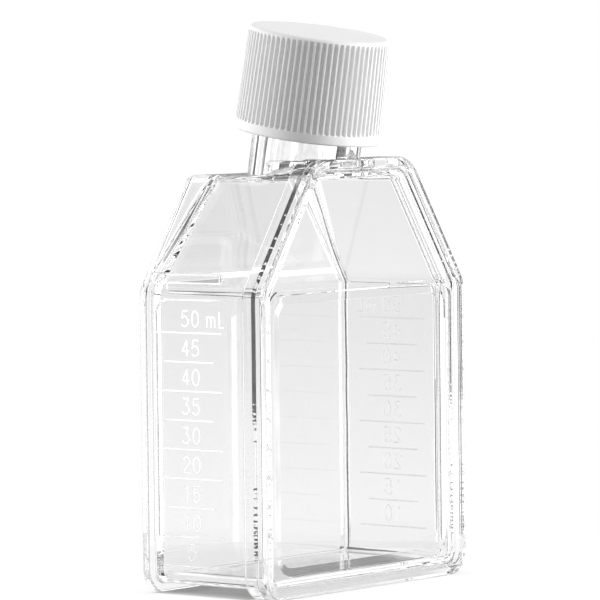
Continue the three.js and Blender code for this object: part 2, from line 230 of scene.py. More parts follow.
def baked(made):
    """Turns the modifiers' result into the object's own plain mesh."""
    bpy.context.view_layer.update()
    shown = made.evaluated_get(bpy.context.evaluated_depsgraph_get())
    old = made.data
    made.data = bpy.data.meshes.new_from_object(shown)
    made.modifiers.clear()
    bpy.data.meshes.remove(old)
    made.data.name = made.name
    return made


def combine(base, tool, operation):
    """Joins the tool to the base or cuts it away, and removes the tool."""
    modifier = base.modifiers.new("combine", "BOOLEAN")
    modifier.operation = operation
    modifier.solver = "MANIFOLD"
    modifier.object = tool
    baked(base)
    bpy.data.objects.remove(tool)
    return base


def include(base, addition):
    """Adds another object's shells to the base as they are, and removes the object."""
    work = bmesh.new()
    work.from_mesh(base.data)
    work.from_mesh(addition.data)
    work.to_mesh(base.data)
    work.free()
    bpy.data.objects.remove(addition)


def to_metres(made):
    made.data.transform(Matrix.Scale(MM, 4))
    return made


def shade(made):
    """Smooth shading whose flat walls stay optically flat beside their fillets."""
    made.data.shade_smooth()
    made.data.set_sharp_from_angle(angle=SHARP_ANGLE)
    flat_walls = made.modifiers.new("flat_walls", "WEIGHTED_NORMAL")
    flat_walls.weight = 100
    flat_walls.keep_sharp = True
    return baked(made)


def arc(centre_x, centre_y, radius_x, radius_y, start, end, steps=14):
    """Points of part of an ellipse, between two angles in degrees."""
    points = []
    for k in range(steps + 1):
        angle = math.radians(start + (end - start) * k / steps)
        points.append((centre_x + radius_x * math.cos(angle),
                       centre_y + radius_y * math.sin(angle)))
    return points


def round_axis(radius, angle, height):
    """A point at an angle about the Z axis."""
    return Vector((radius * math.cos(angle), radius * math.sin(angle), height))


def rounded_corner(before, corner, after, radius):
    """Points of the arc that rounds a left-hand corner between its neighbours."""
    arriving = (corner - before).normalized()
    leaving = (after - corner).normalized()
    turn = math.acos(max(-1.0, min(1.0, arriving.dot(leaving))))
    start = corner - arriving * radius * math.tan(turn / 2)
    centre = start + Vector((-arriving.y, arriving.x)) * radius
    spoke = start - centre
    return [centre + Matrix.Rotation(turn * k / CORNER_STEPS, 2) @ spoke
            for k in range(CORNER_STEPS + 1)]


def rounded_rectangle(left, right, bottom, top, radius):
    """A closed ring in the plane, which runs anticlockwise."""
    corners = [Vector(c) for c in ((left, bottom), (right, bottom), (right, top), (left, top))]
    return [point for i, corner in enumerate(corners)
            for point in rounded_corner(corners[i - 1], corner, corners[(i + 1) % 4], radius)]


def bands(ring_count, count):
    """Faces between neighbouring rings of `count` points."""
    faces = []
    for r in range(ring_count - 1):
        for i in range(count):
            j = (i + 1) % count
            faces.append((r * count + i, r * count + j, (r + 1) * count + j, (r + 1) * count + i))
    return faces


def one_face(count):
    return [tuple(range(count))]


def rungs(count):
    """Closes a ring that is symmetrical left to right with strips from side to side."""
    half = count // 2
    return [(i, i + 1, count - 2 - i, count - 1 - i) for i in range(half - 1)]


def stacked(name, rings, ends=one_face, finishes=()):
    """A closed body through rings of equal length. `ends` says how a ring's faces close it.

    `finishes` gives the material index of the band that follows each ring.
    """
    count = len(rings[0])
    faces = bands(len(rings), count)
    for base in (0, (len(rings) - 1) * count):
        faces += [tuple(base + k for k in face) for face in ends(count)]
    made = new_object(name, [point for ring in rings for point in ring], faces)
    for r, finish in enumerate(finishes):
        for face in made.data.polygons[r * count:(r + 1) * count]:
            face.material_index = finish
    return mend(made)


def relief(name, ring_at, levels):
    """A raised or sunk form on a wall, from (distance in from its outline, depth) levels."""
    return stacked(name, [[Vector((p.x, depth, p.y)) for p in ring_at(inset)]
                          for inset, depth in levels])


def turned(name, profile):
    """A solid turned about the Z axis from (radius, height) points that start and end on it."""
    rings = [[round_axis(radius, math.tau * i / TURN_STEPS, height) for i in range(TURN_STEPS)]
             for radius, height in profile[1:-1]]
    vertices = [point for ring in rings for point in ring]
    first, last = len(vertices), len(vertices) + 1
    vertices += [Vector((0, 0, profile[0][1])), Vector((0, 0, profile[-1][1]))]
    faces = bands(len(rings), TURN_STEPS)
    base = (len(rings) - 1) * TURN_STEPS
    for i in range(TURN_STEPS):
        j = (i + 1) % TURN_STEPS
        faces += [(first, j, i), (last, base + i, base + j)]
    return mend(new_object(name, vertices, faces))


def ridge(name, base_radius, crest_radius, start):
    """A screw ridge about the Z axis, which fades in and out over a quarter of a turn."""
    steps = round(THREAD_TURNS * THREAD_STEPS)
    rings = []
    for i in range(steps + 1):
        angle = math.tau * THREAD_TURNS * i / steps
        middle = start + THREAD_LEAD * angle / math.tau
        grown = math.sin(min(1.0, (min(i, steps - i) + 1) / (THREAD_STEPS / 4)) * math.pi / 2)
        crest = base_radius + (crest_radius - base_radius) * grown
        shoulder = base_radius + (crest - base_radius) * 0.8
        section = [(base_radius, -THREAD_ROOT / 2), (shoulder, -THREAD_CREST * 0.7),
                   (crest, -THREAD_CREST * 0.3)]
        section += [(radius, -rise) for radius, rise in reversed(section)]
        rings.append([round_axis(radius, angle, middle + rise) for radius, rise in section])
    return stacked(name, rings)


# ---- the flask's outline and sections --------

CLEAR, FUSED, SEAM, ETCHED_GLOWING = range(4)  # material slots of the clear mouldings
SIDE_SHARES = (0.25, 0.5, 0.75)
SHOULDER_SHARES = (0.04, 0.09, 0.14, 0.19, 0.25, 0.4, 0.6, 0.8)


def half_outline(inset, top, top_radius):
    """Right half of the outline, from the floor to the top, moved in by `inset`."""
    slope = math.tan(SHOULDER_LEAN)

    def leaning(height):
        drawn_in = inset / math.cos(SHOULDER_LEAN)
        return HALF_WIDTH - drawn_in - (height - SHOULDER_HEIGHT) * slope

    side = HALF_WIDTH - inset
    shoulder = SHOULDER_HEIGHT + (leaning(SHOULDER_HEIGHT) - side) / slope
    corners = [Vector(c) for c in ((0, inset), (side, inset), (side, shoulder),
                                   (leaning(top), top), (0, top))]
    radii = [max(r - inset, LEAST_RADIUS) for r in (BOTTOM_RADIUS, SHOULDER_RADIUS, top_radius)]
    points = []
    for i, (radius, shares) in enumerate(zip(radii, ((), SIDE_SHARES, SHOULDER_SHARES))):
        rounded = rounded_corner(*corners[i:i + 3], radius)
        if points:
            points += [points[-1].lerp(rounded[0], share) for share in shares]
        points += rounded
    return points


def ramp_climb(height):
    """How far the growth wall has moved towards the plate at a height."""
    rise = height - RAMP_START
    if rise <= -RAMP_KNEE:
        return 0.0
    if rise < RAMP_KNEE:
        return RAMP_SLOPE * (rise + RAMP_KNEE) ** 2 / (4 * RAMP_KNEE)
    return RAMP_SLOPE * rise


def section_ring(inset, depth, top, ramp):
    """The outline at one point of a section: its inset, depth, top and share of the ramp."""
    towards_back = (depth - FLANGE_BACK) / (BACK_RIM_FRONT - FLANGE_BACK)
    share = max(0.0, min(1.0, towards_back))
    top_radius = FRONT_TOP_RADIUS + (BACK_TOP_RADIUS - FRONT_TOP_RADIUS) * share
    right = [Vector((p.x, depth - ramp * ramp_climb(p.y), p.y))
             for p in half_outline(inset, top, top_radius)]
    left = [Vector((-p.x, p.y, p.z)) for p in reversed(right)]
    return right + left


def rounded_section(corners):
    """Section points and their bands' finishes.

    A corner gives its inset, y, top, share of the ramp, fillet and finish.
    """
    points, finishes = [Vector(corners[0][:4])], [corners[0][5]]
    for before, corner, after in zip(corners, corners[1:], corners[2:]):
        here = Vector(corner[:4])
        bends = FILLET_STEPS if corner[4] else 0
        ends = []
        for other in (before, after):
            way = Vector(other[:4]) - here
            ends.append(here + way * (corner[4] / way.xy.length))
        for k in range(bends + 1):
            t = k / max(bends, 1)
            points.append(ends[0] * (1 - t) ** 2 + here * 2 * t * (1 - t) + ends[1] * t ** 2)
            finishes.append(CLEAR if k < bends else corner[5])
    points.append(Vector(corners[-1][:4]))
    return points, finishes


def section_body(name, corners):
    """Turns a section into a body. Bands are clear unless a corner names another finish."""
    whole = [corner if len(corner) == 6 else (*corner, CLEAR) for corner in corners]
    points, finishes = rounded_section(whole)
    return stacked(name, [section_ring(*point) for point in points], rungs, finishes)


def paint_clear(made):
    """Gives a clear moulding its material slots, which its faces already name."""
    for material in clear_finishes:
        made.data.materials.append(material)
    return made


# ---- flask body --------

def body_skin():
    """The moulding's outside, from the sunk growth wall round the rim and sides to the flange."""
    flange_face = JOINT + JOINT_GAP
    seam_end = JOINT + SEAM_DEPTH
    seam_inside = SEAM_INSET + SEAM_WIDTH
    return section_body("flask_body_looks", [
        (CAVITY_INSET + 1.0, GROWTH_OUT, CAVITY_TOP_BACK - 1.0, 1, 0),
        (CAVITY_INSET, GROWTH_OUT, CAVITY_TOP_BACK, 1, 0.35),
        (CAVITY_INSET - 0.05, BACK_FACE, CAVITY_TOP_BACK + 0.05, 0, 0.35),
        (0, BACK_FACE, BACK_TOP, 0, 0.55),
        (0, BACK_RIM_FRONT, BACK_TOP, BACK_RIM_SPREAD, 0.45),
        (WALL_INSET, BACK_RIM_FRONT, BACK_TOP, BACK_RIM_SPREAD, 0.5),
        (WALL_INSET, MIDDLE, BACK_TOP, 0, 0),
        (WALL_INSET, FLANGE_BACK, BACK_TOP + END_WALL_RISE, 0, 0.5),
        (0, FLANGE_BACK, FRONT_TOP, 0, 0.5),
        (0, flange_face, FRONT_TOP, 0, 0.25),
        (SEAM_INSET, flange_face, FRONT_TOP - SEAM_INSET, 0, 0, SEAM),
        (SEAM_INSET, seam_end, FRONT_TOP - SEAM_INSET, 0, 0, SEAM),
        (seam_inside, seam_end, FRONT_TOP - seam_inside, 0, 0, SEAM),
        (seam_inside, flange_face, FRONT_TOP - seam_inside, 0, 0, FUSED),
        (CAVITY_INSET - 0.5, flange_face, FRONT_TOP - CAVITY_INSET + 0.5, 0, 0),
    ])


def body_hollow():
    """The space inside: straight sides, the growth wall and its ramp, all with rounded corners."""
    return section_body("hollow", [
        (CAVITY_INSET, JOINT - OVERRUN, CAVITY_TOP_FRONT, 0, 0),
        (CAVITY_INSET, FLANGE_BACK, CAVITY_TOP_FRONT, 0, 0),
        (CAVITY_INSET, GROWTH_IN, CAVITY_TOP_BACK, 1, 0.45),
        (CAVITY_INSET + 2.0, GROWTH_IN, CAVITY_TOP_BACK - 2.0, 1, 0),
    ])


def neck_outside():
    mouth = arc(NECK_RADIUS - NECK_LIP, NECK_LENGTH - NECK_LIP, NECK_LIP, NECK_LIP,
                0, 90, FILLET_STEPS)
    neck = turned("neck", [(0, -NECK_ROOT), (NECK_RADIUS, -NECK_ROOT), *mouth, (0, NECK_LENGTH)])
    thread = ridge("neck_thread", NECK_RADIUS - THREAD_SINK, NECK_RADIUS + THREAD_HEIGHT,
                   THREAD_START)
    combine(neck, thread, "UNION")
    neck.data.transform(TO_NECK)
    return neck


def neck_bore():
    bore = turned("bore", [
        (0, -NECK_ROOT - OVERRUN), (BORE_RADIUS, -NECK_ROOT - OVERRUN),
        (BORE_RADIUS, NECK_LENGTH - BORE_LIP),
        (BORE_RADIUS + BORE_LIP * 0.3, NECK_LENGTH - BORE_LIP * 0.4),
        (BORE_RADIUS + BORE_LIP, NECK_LENGTH), (BORE_RADIUS + BORE_LIP, NECK_LENGTH + OVERRUN),
        (0, NECK_LENGTH + OVERRUN),
    ])
    bore.data.transform(TO_NECK)
    return bore


def neck_pad():
    """The flat block between the neck and the front flange, with rounded edges."""
    def ring_at(inset):
        return rounded_rectangle(-PAD_HALF_WIDTH + inset, PAD_HALF_WIDTH - inset,
                                 CAVITY_TOP_BACK, PAD_TOP - inset, PAD_RADIUS)

    return relief("neck_pad", ring_at, [
        (0, JOINT + 1.0), (0, PAD_BACK - PAD_ROUND),
        (PAD_ROUND * 0.3, PAD_BACK - PAD_ROUND * 0.3), (PAD_ROUND, PAD_BACK)])


def side_frame(side):
    """Frame on a side wall's outer face: X to the viewer's right, Y into the wall, Z up."""
    turn = Matrix.Rotation(side * math.pi / 2, 4, "Z")
    return Matrix.Translation((side * (HALF_WIDTH - WALL_INSET), 0, 0)) @ turn


def side_window(body, side, front, bottom, top, depth, draw):
    """A sunk window of a side wall. `draw` widens the slopes of its upright edges and its foot."""
    def ring_at(inset):
        ends = sorted((side * front + side * inset * draw[0], side * (SIDE_WINDOW_BACK - inset)))
        return rounded_rectangle(*ends, bottom + inset * draw[1], top - inset, SIDE_WINDOW_RADIUS)

    window = relief("side_window", ring_at, [(0, -OVERRUN), (0, 0), (SIDE_WINDOW_EDGE, depth)])
    window.data.transform(side_frame(side))
    combine(body, window, "DIFFERENCE")


def side_bar(body):
    """The short raised bar over the window of the left-hand wall."""
    left, right, bottom, top = SIDE_BAR

    def ring_at(inset):
        return rounded_rectangle(left + inset, right - inset, bottom + inset, top - inset,
                                 SIDE_BAR_RADIUS - inset * SIDE_BAR_RADIUS)

    bar = relief("side_bar", ring_at, [(0, 0.5), (0, -0.05), (0.15, -0.25), (0.4, -0.4)])
    bar.data.transform(side_frame(-1))
    combine(body, bar, "UNION")


def ramp_crease():
    """The low crease inside the growth wall where it turns into the ramp."""
    section = [(0, CREASE_FOOT), (0.94, CREASE_CREST - 0.1), (1, CREASE_CREST),
               (0.94, CREASE_CREST + 0.1), (-0.1, CREASE_TOP)]
    rings = []
    for shortened, proud in ((0, 0.02), (0.15, 0.13), (0.5, 0.21)):
        reach = CREASE_HALF_LENGTH - shortened
        ring = [Vector((reach, GROWTH_IN - proud * share, height)) for share, height in section]
        rings.append(ring + [Vector((reach, GROWTH_IN + 0.5, height))
                             for height in (CREASE_TOP, CREASE_FOOT)])
    rings += [[Vector((-p.x, p.y, p.z)) for p in ring] for ring in reversed(rings)]
    return paint_clear(stacked("ramp_crease", rings))


def make_body():
    body = paint_clear(body_skin())
    for form, operation in ((neck_outside, "UNION"), (neck_pad, "UNION"),
                            (body_hollow, "DIFFERENCE"), (neck_bore, "DIFFERENCE"),
                            (ramp_crease, "UNION")):
        combine(body, form(), operation)
    side_window(body, **RIGHT_WINDOW)
    side_window(body, **LEFT_WINDOW)
    side_bar(body)
    tree, ids = stroke_tree()
    for beads in [graduations(body, scale, tree, ids) for scale in (LEFT_SCALE, RIGHT_SCALE)]:
        include(body, beads)
    return body


# ---- front plate --------

def make_plate():
    joint_face = JOINT - JOINT_GAP
    inner = JOINT + SPIGOT
    plate = paint_clear(section_body("front_plate_looks", [
        (SPIGOT_INSET + 1.0, inner, CAVITY_TOP_FRONT - 1.3, 0, 0),
        (SPIGOT_INSET, inner, CAVITY_TOP_FRONT - 0.3, 0, 0.15),
        (SPIGOT_INSET, joint_face, CAVITY_TOP_FRONT - 0.3, 0, 0, FUSED),
        (0, joint_face, FRONT_TOP, 0, 0.25),
        (0, FRONT_FACE, FRONT_TOP, 0, 0.6),
        (PLATE_RIM - 0.55, FRONT_FACE, FRONT_TOP - PLATE_RIM + 0.55, 0, 0.4),
        (PLATE_RIM, PLATE_OUT, FRONT_TOP - PLATE_RIM, 0, 0.4),
        (PLATE_RIM + 1.0, PLATE_OUT, FRONT_TOP - PLATE_RIM - 1.0, 0, 0),
    ]))

    def field_ring(inset):
        return rounded_rectangle(-FIELD_HALF_WIDTH + inset, FIELD_HALF_WIDTH - inset,
                                 FIELD_BOTTOM + inset, FIELD_TOP - inset, FIELD_RADIUS - inset)

    combine(plate, relief("field", field_ring, [
        (-FIELD_BORDER, FRONT_FACE - OVERRUN), (-FIELD_BORDER, PLATE_OUT),
        (0.2 - FIELD_BORDER, PLATE_OUT + FIELD_STEP * 0.5), (-0.1, PLATE_OUT + FIELD_STEP * 0.8),
        (0, PLATE_OUT + FIELD_STEP)]), "DIFFERENCE")
    return combine(plate, window_rib(), "UNION")


def window_rib():
    """The low rib round the window inside the plate's rim, open at the top's middle."""
    crest = PLATE_OUT - BAR_PROUD
    width, height = BAR_EASE

    def around(rib_inset):
        def ring_at(inset):
            moved = rib_inset + inset
            edge = HALF_WIDTH - PLATE_RIM + 0.1 - moved
            return rounded_rectangle(-edge, edge, PLATE_RIM - 0.1 + moved,
                                     BAR_CENTRE + BAR_HEIGHT / 2 - moved, WINDOW_RADIUS - moved)
        return ring_at

    def gap_ring(inset):
        return rounded_rectangle(-BAR_INNER_END - inset, BAR_INNER_END + inset,
                                 FIELD_TOP, BAR_CENTRE + OVERRUN, 0.3)

    rib = paint_clear(relief("window_rib", around(0), [
        (0, PLATE_OUT + 0.4), (0, crest + height), (width, crest), (0.2, crest)]))
    for name, ring_at, cut in (("window", around(BAR_HEIGHT), -width), ("gap", gap_ring, width)):
        levels = [(0, PLATE_OUT + OVERRUN), (0, crest + height),
                  (cut, crest), (cut, crest - OVERRUN)]
        combine(rib, relief(name, ring_at, levels), "DIFFERENCE")
    return rib


# ---- node trees --------

def add_node(tree, kind, settings=None, inputs=None):
    """Adds a node with its settings. An input takes a value, a socket or a node's first output."""
    node = tree.nodes.new(kind)
    for name, value in (settings or {}).items():
        setattr(node, name, value)
    for name, value in (inputs or {}).items():
        if isinstance(value, bpy.types.Node):
            value = value.outputs[0]
        if isinstance(value, bpy.types.NodeSocket):
            tree.links.new(value, node.inputs[name])
        else:
            node.inputs[name].default_value = value
    return node


def geometry_tree(name, sockets):
    """A geometry node tree with one geometry in, one out, and named inputs."""
    tree = bpy.data.node_groups.new(name, "GeometryNodeTree")
    tree.interface.new_socket("Geometry", in_out="INPUT", socket_type="NodeSocketGeometry")
    tree.interface.new_socket("Geometry", in_out="OUTPUT", socket_type="NodeSocketGeometry")
    made = {label: tree.interface.new_socket(label, in_out="INPUT", socket_type=kind).identifier
            for label, kind in sockets.items()}
    return tree, tree.nodes.new("NodeGroupInput").outputs, made


def finish_tree(tree, geometry, material):
    """Ends a geometry tree with the material set on its result."""
    painted = add_node(tree, "GeometryNodeSetMaterial", inputs={
        "Geometry": geometry, "Material": material})
    add_node(tree, "NodeGroupOutput", inputs={0: painted})


def grow(made, tree, identifiers, values):
    """Runs a geometry node tree on an object and keeps its result as a plain mesh."""
    modifier = made.modifiers.new(tree.name, "NODES")
    modifier.node_group = tree
    for label, value in values.items():
        modifier[identifiers[label]] = value
    return baked(made)


# ---- cap --------

def cap_radius(height):
    return CAP_RADIUS - (height - CAP_FOOT) * CAP_DRAFT


def cap_section():
    """(radius, height, share of a rib's depth) from the middle of the top to the underside."""
    shoulder = CAP_TOP - CAP_TOP_FILLET
    rim = arc(cap_radius(shoulder) - CAP_TOP_FILLET, shoulder, CAP_TOP_FILLET, CAP_TOP_FILLET,
              90, 0, 10)
    section = [(radius, CAP_TOP, 0) for radius in (0.0, 3.0, 6.0, 9.0)]
    section += [(radius, height, 0) for radius, height in rim if height > RIB_TOP]
    for k in range(6):
        share = k / 5
        height = RIB_TOP - RIB_TOP_FADE * share
        skirt = cap_radius(height)
        on_rim = next((radius for radius, top in reversed(rim) if top >= height), skirt)
        section.append((min(skirt, on_rim), height, math.sin(share * math.pi / 2) ** 0.7))
    for height in (CAP_TOP - 4, CAP_FOOT + 8, RIB_FOOT + RIB_FOOT_FADE):
        section.append((cap_radius(height), height, 1))
    for k in range(1, 6):
        share = k / 5
        height = RIB_FOOT + RIB_FOOT_FADE * (1 - share)
        section.append((cap_radius(height), height, math.cos(share * math.pi / 2) ** 0.6))
    section.append((cap_radius(RIB_FOOT - 0.2), RIB_FOOT - 0.2, 0))
    edge = arc(CAP_RADIUS - CAP_FOOT_FILLET, CAP_FOOT + CAP_FOOT_FILLET, CAP_FOOT_FILLET,
               CAP_FOOT_FILLET, 0, -90, 5)
    inside = [(CAP_INNER_RADIUS + 0.35, CAP_FOOT), (CAP_INNER_RADIUS, CAP_FOOT + 0.4),
              (CAP_INNER_RADIUS, CAP_UNDERSIDE - 0.4), (CAP_INNER_RADIUS - 0.4, CAP_UNDERSIDE),
              (5.0, CAP_UNDERSIDE), (0.0, CAP_UNDERSIDE)]
    return section + [(radius, height, 0) for radius, height in edge + inside]


def groove_share(share):
    """Depth of the groove across a rib's pitch: a rounded crest amid a flat bottom."""
    away = abs(share - 0.5) * 2
    ramp = max(0.0, min(1.0, (away - RIB_CREST) / RIB_FLANK))
    return ramp * ramp * (3 - 2 * ramp)


def cap_wedge():
    """One rib's slice of the cap, from the axis out and back."""
    pitch = math.tau / RIB_COUNT
    section = cap_section()
    vertices = [round_axis(radius - RIB_DEPTH * depth_share * groove_share(k / RIB_STEPS),
                           pitch * k / RIB_STEPS, height)
                for radius, height, depth_share in section for k in range(RIB_STEPS + 1)]
    row = RIB_STEPS + 1
    faces = [(r * row + k, (r + 1) * row + k, (r + 1) * row + k + 1, r * row + k + 1)
             for r in range(len(section) - 1) for k in range(RIB_STEPS)]
    return new_object("screw_cap_looks", vertices, faces)


def polar_array_tree():
    """Repeats the incoming slice round the Z axis and welds the copies into one skin."""
    tree, given, ids = geometry_tree("rib_ring", {
        "Count": "NodeSocketInt", "Weld distance": "NodeSocketFloat",
        "Material": "NodeSocketMaterial"})
    points = add_node(tree, "GeometryNodeMeshLine", inputs={
        "Count": given["Count"], "Offset": (0.0, 0.0, 0.0)})
    pitch = add_node(tree, "ShaderNodeMath", {"operation": "DIVIDE"}, {
        0: math.tau, 1: given["Count"]})
    index = add_node(tree, "GeometryNodeInputIndex")
    angle = add_node(tree, "ShaderNodeMath", {"operation": "MULTIPLY"}, {0: index, 1: pitch})
    turn = add_node(tree, "ShaderNodeCombineXYZ", inputs={"Z": angle})
    copies = add_node(tree, "GeometryNodeInstanceOnPoints", inputs={
        "Points": points, "Instance": given["Geometry"], "Rotation": turn})
    real = add_node(tree, "GeometryNodeRealizeInstances", inputs={0: copies})
    welded = add_node(tree, "GeometryNodeMergeByDistance", inputs={
        "Geometry": real, "Distance": given["Weld distance"]})
    finish_tree(tree, welded, given["Material"])
    return tree, ids


def make_cap(material):
    tree, ids = polar_array_tree()
    cap = grow(cap_wedge(), tree, ids, {
        "Count": RIB_COUNT, "Weld distance": RIB_WELD, "Material": material})
    mend(cap, RIB_WELD)
    drop = (THREAD_ROOT + THREAD_CREST) / 2 + THREAD_PLAY
    thread = ridge("cap_thread", CAP_INNER_RADIUS + THREAD_SINK, CAP_THREAD_RADIUS,
                   THREAD_START - drop)
    combine(cap, thread, "UNION")
    cap.data.transform(TO_NECK)
    return cap


def inside_cap(point):
    """Tells whether a point of the cap's skin faces the neck."""
    local = TO_NECK.inverted() @ point
    return local.xy.length < CAP_INNER_RADIUS + 0.1 and local.z < CAP_UNDERSIDE + 0.1


# ---- graduations --------

GLYPHS = {  # strokes in shares of a letter's width and height
    "0": [arc(0.5, 0.5, 0.5, 0.5, 0, 360, 28)],
    "1": [[(0.3, 0.82), (0.58, 1.0), (0.58, 0.0)]],
    "2": [arc(0.48, 0.72, 0.46, 0.28, 170, -25) + [(0.0, 0.0), (1.0, 0.0)]],
    "3": [[(0.05, 1.0), (0.9, 1.0), (0.42, 0.6)] + arc(0.4, 0.3, 0.55, 0.3, 80, -150)],
    "4": [[(0.72, 0.0), (0.72, 1.0), (0.0, 0.28), (1.0, 0.28)]],
    "5": [[(0.92, 1.0), (0.14, 1.0), (0.06, 0.5)] + arc(0.42, 0.32, 0.55, 0.32, 130, -150)],
    "m": [[(0.0, 0.0), (0.0, 0.68)],
          [(0.0, 0.45)] + arc(0.3, 0.45, 0.3, 0.22, 180, 0) + [(0.6, 0.0)],
          [(0.6, 0.45)] + arc(0.9, 0.45, 0.3, 0.22, 180, 0) + [(1.2, 0.0)]],
    "L": [[(0.0, 1.0), (0.0, 0.0), (0.72, 0.0)]],
}
ADVANCE = {"m": 1.35, " ": 0.25, "L": 0.7}

# Lines and numbers of each side wall; `flatness` is a bead's height as a share of its width
LEFT_SCALE = {
    "labels": ["5", "10", "15", "20", "30", "35", "40", "45", "50 mL"],
    "first": 5.0, "step": 4.93, "middle": -5.15, "short": (-10.8, -0.2), "long": (-12.7, 1.7),
    "side": -1, "finish": ETCHED_GLOWING, "flatness": 0.7,
}
RIGHT_SCALE = {
    "labels": ["10", "15", "20", "25", "30", "35", "40", "45", "50 mL"],
    "first": 7.6, "step": 4.6, "middle": 2.6, "short": (-2.9, 8.0), "long": (-4.7, 9.8),
    "side": 1, "finish": CLEAR, "flatness": 0.35,
}


def lettering(text, left, baseline):
    """Stroke paths of a label, in millimetres on its wall."""
    paths = []
    for letter in text:
        paths += [[(left + u * LETTER_WIDTH, baseline + v * LETTER_HEIGHT) for u, v in stroke]
                  for stroke in GLYPHS.get(letter, [])]
        left += ADVANCE.get(letter, 1.0) * LETTER_WIDTH + LETTER_GAP
    return paths


def scale_paths(scale):
    """The lines of one scale and the numbers that stand on them."""
    paths = []
    for i, label in enumerate(scale["labels"]):
        height = scale["first"] + scale["step"] * i
        number = label.split()[0]
        left, right = scale["long"] if number.endswith("0") else scale["short"]
        paths.append([(left, height), (right, height)])
        width = len(number) * LETTER_WIDTH + (len(number) - 1) * LETTER_GAP
        paths += lettering(label, scale["middle"] - width / 2, height + LETTER_RISE)
    return paths


def laid_on_wall(body, side, path):
    """A path's points in a side wall's frame, close together, each at the wall's own depth."""
    wall = side_frame(side)
    inwards = wall.to_3x3() @ Vector((0, 1, 0))
    corners = [Vector((u, -OVERRUN, v)) for u, v in path]
    points = [corners[0]]
    for start, end in zip(corners, corners[1:]):
        steps = math.ceil((end - start).length / STROKE_STEP)
        points += [start.lerp(end, k / steps) for k in range(1, steps + 1)]
    for point in points:
        met, place = body.ray_cast(wall @ point, inwards)[:2]
        depth = (wall.inverted() @ place).y if met else 0.0
        point.y = depth - STROKE_PROUD
    return points


def stroke_tree():
    """Sweeps a round bead along every path of a wire mesh."""
    tree, given, ids = geometry_tree("moulded_strokes", {
        "Bead radius": "NodeSocketFloat", "Material": "NodeSocketMaterial"})
    paths = add_node(tree, "GeometryNodeMeshToCurve", inputs={"Mesh": given["Geometry"]})
    bead = add_node(tree, "GeometryNodeCurvePrimitiveCircle", inputs={
        "Resolution": 12, "Radius": given["Bead radius"]})
    swept = add_node(tree, "GeometryNodeCurveToMesh", inputs={
        "Curve": paths, "Profile Curve": bead, "Fill Caps": True})
    real = add_node(tree, "GeometryNodeRealizeInstances", inputs={0: swept})
    finish_tree(tree, real, given["Material"])
    return tree, ids


def graduations(body, scale, tree, ids):
    """The raised lines and numbers of one side wall, each stroke a bead half sunk in the wall."""
    vertices, edges = [], []
    for path in scale_paths(scale):
        base = len(vertices)
        points = laid_on_wall(body, scale["side"], path)
        closed = (points[0] - points[-1]).length < 0.01
        points = points[:-1] if closed else points
        vertices += [(point.x, point.y / scale["flatness"], point.z) for point in points]
        edges += [(base + k, base + k + 1) for k in range(len(points) - 1)]
        if closed:
            edges.append((base + len(points) - 1, base))
    beads = grow(new_object("graduations", vertices, [], edges), tree, ids, {
        "Bead radius": STROKE_RADIUS, "Material": clear_finishes[scale["finish"]]})
    beads.data.transform(Matrix.Diagonal((1.0, scale["flatness"], 1.0, 1.0)))
    beads.data.transform(side_frame(scale["side"]))
    mend(beads)
    beads.data.materials.clear()  # the body's own slots take its place
    for face in beads.data.polygons:
        face.material_index = scale["finish"]
    return paint_clear(beads)


# ---- materials --------

POLYSTYRENE_IOR = 1.59
POLYETHYLENE_IOR = 1.54

# Tint of the clear plastic, with painted shade lines in its inside corners and painted lighter
# shoulders
CORNER_SHADE_INSET = 0.13  # the painted grey shade line lies this far in from the far inside corner
CORNER_SHADE_EDGE = (0.1, 0.16)  # the painted shade line fades out between these distances from its middle
CORNER_LEAN_START = SHOULDER_HEIGHT - 0.9
SHOULDER_PAINTED_LIGHT = (51.0, 53.0)  # heights between which the shoulders' painted lighter tint sets in
FOOT_SHADE_DEPTHS = (-9.0, 12.0)  # the painted shade line along the foot grows between these places in Y
FOOT_SHADE_RADIUS = 0.34
FOOT_SHADE_BLUR = 0.05


def linear(hex_colour):
    """An sRGB hex colour as linear red, green, blue and alpha."""
    channels = []
    for i in (0, 2, 4):
        value = int(hex_colour[i:i + 2], 16) / 255
        channels.append(value / 12.92 if value <= 0.04045 else ((value + 0.055) / 1.055) ** 2.4)
    return (*channels, 1.0)


WHITE = linear("FFFFFF")


def material_tree(name):
    material = bpy.data.materials.new(name)
    material.use_nodes = True
    material.node_tree.nodes.clear()
    return material, material.node_tree


def surfaced(material, shader):
    """Gives a material the shader as its surface."""
    add_node(material.node_tree, "ShaderNodeOutputMaterial", inputs={"Surface": shader})
    return material


def set_stops(ramp, stops):
    """Gives a colour ramp its grey levels from (position, level) pairs."""
    elements = ramp.color_ramp.elements
    elements.remove(elements[1])
    for i, (position, level) in enumerate(stops):
        stop = elements[0] if i == 0 else elements.new(position)
        stop.position = position
        stop.color = (level, level, level, 1.0)
    return ramp


def in_millimetres(tree):
    """Object coordinates in millimetres."""
    place = add_node(tree, "ShaderNodeTexCoord")
    return add_node(tree, "ShaderNodeVectorMath", {"operation": "SCALE"}, {
        0: place.outputs["Object"], "Scale": 1 / MM})


def beyond(tree, height, start, blend):
    """How far a height lies past a start, easing in over the blend."""
    past = add_node(tree, "ShaderNodeMath", {"operation": "SUBTRACT"}, {0: height, 1: start})
    return add_node(tree, "ShaderNodeMath", {"operation": "SMOOTH_MAX"}, {
        0: past, 1: 0.0, 2: blend})


def distance_from_line(tree, place, offset, kept):
    """Distance from a line through the origin, once the place is moved by the offset.

    `kept` is 1 on the two axes across the line.
    """
    moved = add_node(tree, "ShaderNodeVectorMath", {"operation": "ADD"}, {0: place, 1: offset})
    across = add_node(tree, "ShaderNodeVectorMath", {"operation": "MULTIPLY"}, {0: moved, 1: kept})
    length = add_node(tree, "ShaderNodeVectorMath", {"operation": "LENGTH"}, {0: across})
    return length.outputs["Value"]


